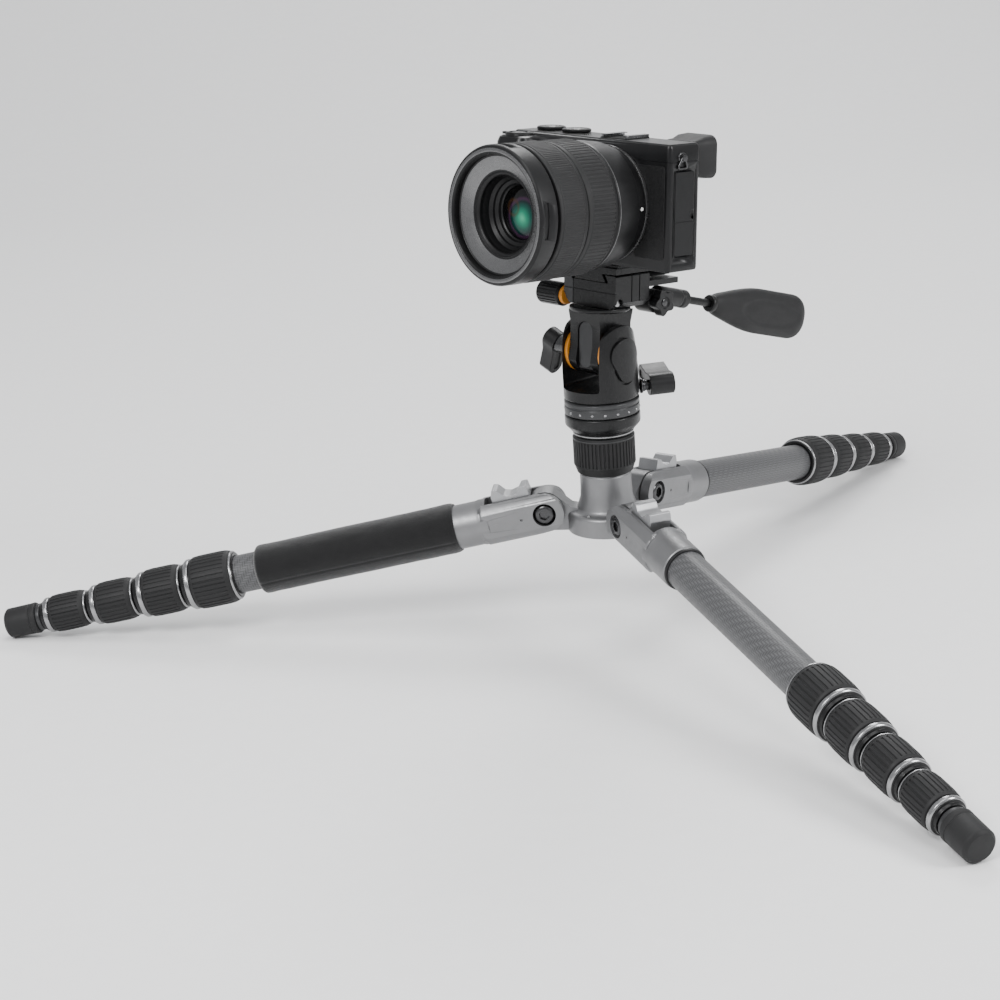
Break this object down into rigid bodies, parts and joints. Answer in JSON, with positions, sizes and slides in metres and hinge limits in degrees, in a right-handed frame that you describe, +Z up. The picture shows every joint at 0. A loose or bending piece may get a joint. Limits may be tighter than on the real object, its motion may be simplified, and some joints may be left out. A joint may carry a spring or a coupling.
{
  "type": "camera on tripod",
  "caption": "Mirrorless camera with a zoom lens on a low tabletop-height tripod: a pan and tilt head, a handle, a quick release clamp and telescoping legs.",
  "frame": {"origin": "middle of the footprint in X and Y, on the floor under the feet", "axes": "+Z up; the lens looks towards -Y (tipped up by the head); +X is to the right of someone standing behind the camera"},
  "size_m": [0.6085, 0.5912, 0.2864],
  "materials": {
    "black_plastic": "matt black moulded plastic",
    "bright_steel": "bright turned steel",
    "camera_black": "fine-textured black body shell",
    "carbon": "satin woven carbon fibre tube",
    "dark_alloy": "satin dark grey anodised",
    "dial_metal": "knurled dark anodised dial",
    "foam": "soft closed-cell foam sleeve",
    "glass": "coated glass with green sheen",
    "light_alloy": "satin light grey anodised, machined",
    "rubber": "ribbed matt black rubber",
    "screen": "glossy dark panel"
  },
  "bodies": {
    "hub": {"hub": "light_alloy"},
    "column_lock": {"column_lock": "rubber"},
    "column": {"column": "dark_alloy", "pan_base": "dark_alloy"},
    "head": {"head_body": "dark_alloy"},
    "tilt_knob": {"tilt_knob": "black_plastic"},
    "pan_knob": {"pan_knob": "black_plastic"},
    "platform": {"neck": "dark_alloy", "clamp_body": "dark_alloy", "quick_plate": "dark_alloy", "camera_body": "camera_black", "lens_barrel": "camera_black", "eyecup": "rubber"},
    "clamp_jaw": {"clamp_jaw": "light_alloy"},
    "clamp_knob": {"clamp_knob": "dark_alloy"},
    "handle": {"handle_arm": "dark_alloy", "handle_grip": "rubber"},
    "handle_knob": {"handle_knob": "black_plastic"},
    "zoom_ring": {"zoom_ring": "camera_black"},
    "inner_barrel": {"inner_barrel": "camera_black", "front_glass": "glass"},
    "focus_ring": {"focus_ring": "camera_black"},
    "screen": {"screen": "screen"},
    "mode_dial": {"mode_dial": "dial_metal"},
    "control_dial": {"control_dial": "dial_metal"},
    "shutter_button": {"shutter_button": "dial_metal"},
    "leg_left": {"leg_left_upper": "light_alloy", "leg_left_bolt": "bright_steel", "foam_sleeve": "foam"},
    "leg_left_stop": {"leg_left_stop": "light_alloy"},
    "leg_left_lock_1": {"leg_left_lock_1": "rubber"},
    "leg_left_tube_2": {"leg_left_tube_2": "carbon"},
    "leg_left_lock_2": {"leg_left_lock_2": "rubber"},
    "leg_left_tube_3": {"leg_left_tube_3": "carbon"},
    "leg_left_lock_3": {"leg_left_lock_3": "rubber"},
    "leg_left_tube_4": {"leg_left_tube_4": "carbon"},
    "leg_left_lock_4": {"leg_left_lock_4": "rubber"},
    "leg_left_tube_5": {"leg_left_tube_5": "carbon"},
    "leg_front": {"leg_front_upper": "light_alloy", "leg_front_bolt": "bright_steel"},
    "leg_front_stop": {"leg_front_stop": "light_alloy"},
    "leg_front_lock_1": {"leg_front_lock_1": "rubber"},
    "leg_front_tube_2": {"leg_front_tube_2": "carbon"},
    "leg_front_lock_2": {"leg_front_lock_2": "rubber"},
    "leg_front_tube_3": {"leg_front_tube_3": "carbon"},
    "leg_front_lock_3": {"leg_front_lock_3": "rubber"},
    "leg_front_tube_4": {"leg_front_tube_4": "carbon"},
    "leg_front_lock_4": {"leg_front_lock_4": "rubber"},
    "leg_front_tube_5": {"leg_front_tube_5": "carbon"},
    "leg_back": {"leg_back_upper": "light_alloy", "leg_back_bolt": "bright_steel"},
    "leg_back_stop": {"leg_back_stop": "light_alloy"},
    "leg_back_lock_1": {"leg_back_lock_1": "rubber"},
    "leg_back_tube_2": {"leg_back_tube_2": "carbon"},
    "leg_back_lock_2": {"leg_back_lock_2": "rubber"},
    "leg_back_tube_3": {"leg_back_tube_3": "carbon"},
    "leg_back_lock_3": {"leg_back_lock_3": "rubber"},
    "leg_back_tube_4": {"leg_back_tube_4": "carbon"},
    "leg_back_lock_4": {"leg_back_lock_4": "rubber"},
    "leg_back_tube_5": {"leg_back_tube_5": "carbon"}
  },
  "joints": [
    {"name": "column_lock_turn", "type": "hinge", "parent": "hub", "child": "column_lock", "pos_m": [-0.03526, -0.05353, 0], "axis": [0, 0, 1], "range_deg": [0, 120]},
    {"name": "column_slide", "type": "slide", "parent": "hub", "child": "column", "axis": [0, 0, 1], "range_m": [0, 0.035]},
    {"name": "pan", "type": "hinge", "parent": "column", "child": "head", "pos_m": [-0.03526, -0.05353, 0], "axis": [0, 0, 1], "continuous": true},
    {"name": "tilt_knob_turn", "type": "hinge", "parent": "head", "child": "tilt_knob", "pos_m": [-0.03526, -0.05353, 0.1597], "axis": [-1, 0, 0], "range_deg": [-45, 90]},
    {"name": "pan_knob_turn", "type": "hinge", "parent": "head", "child": "pan_knob", "pos_m": [-0.03526, -0.05353, 0.1372], "axis": [0.5, 0.866, 0], "range_deg": [-45, 90]},
    {"name": "tilt", "type": "hinge", "parent": "head", "child": "platform", "pos_m": [-0.03526, -0.05353, 0.1597], "axis": [1, 0, 0], "range_deg": [-20, 65]},
    {"name": "jaw_slide", "type": "slide", "parent": "platform", "child": "clamp_jaw", "axis": [-1, 0, 0], "range_m": [0, 0.0031]},
    {"name": "clamp_knob_turn", "type": "hinge", "parent": "clamp_jaw", "child": "clamp_knob", "pos_m": [-0.03526, -0.05531, 0.18888], "axis": [-1, 0, 0], "range_deg": [0, 720]},
    {"name": "handle_swing", "type": "hinge", "parent": "platform", "child": "handle", "pos_m": [-0.02326, -0.02523, 0.18406], "axis": [-1, 0, 0], "range_deg": [0, 20]},
    {"name": "handle_knob_turn", "type": "hinge", "parent": "handle", "child": "handle_knob", "pos_m": [-0.02326, -0.02523, 0.18406], "axis": [1, 0, 0], "range_deg": [-90, 180]},
    {"name": "zoom_turn", "type": "hinge", "parent": "platform", "child": "zoom_ring", "pos_m": [-0.02176, -0.05479, 0.24315], "axis": [0, -0.996, 0.0898], "range_deg": [0, 70]},
    {"name": "zoom_extend", "type": "slide", "parent": "platform", "child": "inner_barrel", "axis": [0, -0.996, 0.0898], "range_m": [0, 0.0121]},
    {"name": "focus_turn", "type": "hinge", "parent": "platform", "child": "focus_ring", "pos_m": [-0.02176, -0.05479, 0.24315], "axis": [0, -0.996, 0.0898], "continuous": true},
    {"name": "screen_tilt", "type": "hinge", "parent": "platform", "child": "screen", "pos_m": [-0.03676, -0.03136, 0.21293], "axis": [-1, 0, 0], "range_deg": [0, 80]},
    {"name": "mode_dial_turn", "type": "hinge", "parent": "platform", "child": "mode_dial", "pos_m": [-0.06076, -0.03728, 0.27591], "axis": [0, 0.0898, 0.996], "continuous": true},
    {"name": "control_dial_turn", "type": "hinge", "parent": "platform", "child": "control_dial", "pos_m": [-0.08076, -0.03728, 0.27591], "axis": [0, 0.0898, 0.996], "continuous": true},
    {"name": "shutter_press", "type": "slide", "parent": "platform", "child": "shutter_button", "axis": [0, -0.0898, -0.996], "range_m": [0, 0.0008], "stiffness_N_per_m": 900, "springref_m": -0.0006},
    {"name": "leg_left_fold", "type": "hinge", "parent": "hub", "child": "leg_left", "pos_m": [-0.06096, -0.07654, 0.06966], "axis": [0.6672, -0.7449, 0], "range_deg": [0, 70]},
    {"name": "leg_left_stop_pull", "type": "slide", "parent": "leg_left", "child": "leg_left_stop", "axis": [-0.7316, -0.6553, -0.1882], "range_m": [0, 0.004], "stiffness_N_per_m": 400, "springref_m": -0.002},
    {"name": "leg_left_lock_1_turn", "type": "hinge", "parent": "leg_left", "child": "leg_left_lock_1", "pos_m": [-0.06096, -0.07654, 0.06966], "axis": [-0.7316, -0.6553, -0.1882], "range_deg": [0, 90]},
    {"name": "leg_left_slide_2", "type": "slide", "parent": "leg_left", "child": "leg_left_tube_2", "axis": [-0.7316, -0.6553, -0.1882], "range_m": [0, 0.115]},
    {"name": "leg_left_lock_2_turn", "type": "hinge", "parent": "leg_left_tube_2", "child": "leg_left_lock_2", "pos_m": [-0.06096, -0.07654, 0.06966], "axis": [-0.7316, -0.6553, -0.1882], "range_deg": [0, 90]},
    {"name": "leg_left_slide_3", "type": "slide", "parent": "leg_left_tube_2", "child": "leg_left_tube_3", "axis": [-0.7316, -0.6553, -0.1882], "range_m": [0, 0.14]},
    {"name": "leg_left_lock_3_turn", "type": "hinge", "parent": "leg_left_tube_3", "child": "leg_left_lock_3", "pos_m": [-0.06096, -0.07654, 0.06966], "axis": [-0.7316, -0.6553, -0.1882], "range_deg": [0, 90]},
    {"name": "leg_left_slide_4", "type": "slide", "parent": "leg_left_tube_3", "child": "leg_left_tube_4", "axis": [-0.7316, -0.6553, -0.1882], "range_m": [0, 0.165]},
    {"name": "leg_left_lock_4_turn", "type": "hinge", "parent": "leg_left_tube_4", "child": "leg_left_lock_4", "pos_m": [-0.06096, -0.07654, 0.06966], "axis": [-0.7316, -0.6553, -0.1882], "range_deg": [0, 90]},
    {"name": "leg_left_slide_5", "type": "slide", "parent": "leg_left_tube_4", "child": "leg_left_tube_5", "axis": [-0.7316, -0.6553, -0.1882], "range_m": [0, 0.19]},
    {"name": "leg_front_fold", "type": "hinge", "parent": "hub", "child": "leg_front", "pos_m": [-0.00248, -0.06427, 0.06966], "axis": [0.3115, 0.9502, 0], "range_deg": [0, 70]},
    {"name": "leg_front_stop_pull", "type": "slide", "parent": "leg_front", "child": "leg_front_stop", "axis": [0.9333, -0.3059, -0.1882], "range_m": [0, 0.004], "stiffness_N_per_m": 400, "springref_m": -0.002},
    {"name": "leg_front_lock_1_turn", "type": "hinge", "parent": "leg_front", "child": "leg_front_lock_1", "pos_m": [-0.00248, -0.06427, 0.06966], "axis": [0.9333, -0.3059, -0.1882], "range_deg": [0, 90]},
    {"name": "leg_front_slide_2", "type": "slide", "parent": "leg_front", "child": "leg_front_tube_2", "axis": [0.9333, -0.3059, -0.1882], "range_m": [0, 0.115]},
    {"name": "leg_front_lock_2_turn", "type": "hinge", "parent": "leg_front_tube_2", "child": "leg_front_lock_2", "pos_m": [-0.00248, -0.06427, 0.06966], "axis": [0.9333, -0.3059, -0.1882], "range_deg": [0, 90]},
    {"name": "leg_front_slide_3", "type": "slide", "parent": "leg_front_tube_2", "child": "leg_front_tube_3", "axis": [0.9333, -0.3059, -0.1882], "range_m": [0, 0.14]},
    {"name": "leg_front_lock_3_turn", "type": "hinge", "parent": "leg_front_tube_3", "child": "leg_front_lock_3", "pos_m": [-0.00248, -0.06427, 0.06966], "axis": [0.9333, -0.3059, -0.1882], "range_deg": [0, 90]},
    {"name": "leg_front_slide_4", "type": "slide", "parent": "leg_front_tube_3", "child": "leg_front_tube_4", "axis": [0.9333, -0.3059, -0.1882], "range_m": [0, 0.165]},
    {"name": "leg_front_lock_4_turn", "type": "hinge", "parent": "leg_front_tube_4", "child": "leg_front_lock_4", "pos_m": [-0.00248, -0.06427, 0.06966], "axis": [0.9333, -0.3059, -0.1882], "range_deg": [0, 90]},
    {"name": "leg_front_slide_5", "type": "slide", "parent": "leg_front_tube_4", "child": "leg_front_tube_5", "axis": [0.9333, -0.3059, -0.1882], "range_m": [0, 0.19]},
    {"name": "leg_back_fold", "type": "hinge", "parent": "hub", "child": "leg_back", "pos_m": [-0.04235, -0.01976, 0.06966], "axis": [-0.9787, -0.2054, 0], "range_deg": [0, 70]},
    {"name": "leg_back_stop_pull", "type": "slide", "parent": "leg_back", "child": "leg_back_stop", "axis": [-0.2017, 0.9612, -0.1882], "range_m": [0, 0.004], "stiffness_N_per_m": 400, "springref_m": -0.002},
    {"name": "leg_back_lock_1_turn", "type": "hinge", "parent": "leg_back", "child": "leg_back_lock_1", "pos_m": [-0.04235, -0.01976, 0.06966], "axis": [-0.2017, 0.9612, -0.1882], "range_deg": [0, 90]},
    {"name": "leg_back_slide_2", "type": "slide", "parent": "leg_back", "child": "leg_back_tube_2", "axis": [-0.2017, 0.9612, -0.1882], "range_m": [0, 0.115]},
    {"name": "leg_back_lock_2_turn", "type": "hinge", "parent": "leg_back_tube_2", "child": "leg_back_lock_2", "pos_m": [-0.04235, -0.01976, 0.06966], "axis": [-0.2017, 0.9612, -0.1882], "range_deg": [0, 90]},
    {"name": "leg_back_slide_3", "type": "slide", "parent": "leg_back_tube_2", "child": "leg_back_tube_3", "axis": [-0.2017, 0.9612, -0.1882], "range_m": [0, 0.14]},
    {"name": "leg_back_lock_3_turn", "type": "hinge", "parent": "leg_back_tube_3", "child": "leg_back_lock_3", "pos_m": [-0.04235, -0.01976, 0.06966], "axis": [-0.2017, 0.9612, -0.1882], "range_deg": [0, 90]},
    {"name": "leg_back_slide_4", "type": "slide", "parent": "leg_back_tube_3", "child": "leg_back_tube_4", "axis": [-0.2017, 0.9612, -0.1882], "range_m": [0, 0.165]},
    {"name": "leg_back_lock_4_turn", "type": "hinge", "parent": "leg_back_tube_4", "child": "leg_back_lock_4", "pos_m": [-0.04235, -0.01976, 0.06966], "axis": [-0.2017, 0.9612, -0.1882], "range_deg": [0, 90]},
    {"name": "leg_back_slide_5", "type": "slide", "parent": "leg_back_tube_4", "child": "leg_back_tube_5", "axis": [-0.2017, 0.9612, -0.1882], "range_m": [0, 0.19]}
  ],
  "couplings": [
    {"joint": "zoom_extend", "follows": "zoom_turn", "m_per_rad": 0.0098221},
    {"joint": "jaw_slide", "follows": "clamp_knob_turn", "m_per_rad": 0.00023873}
  ]
}
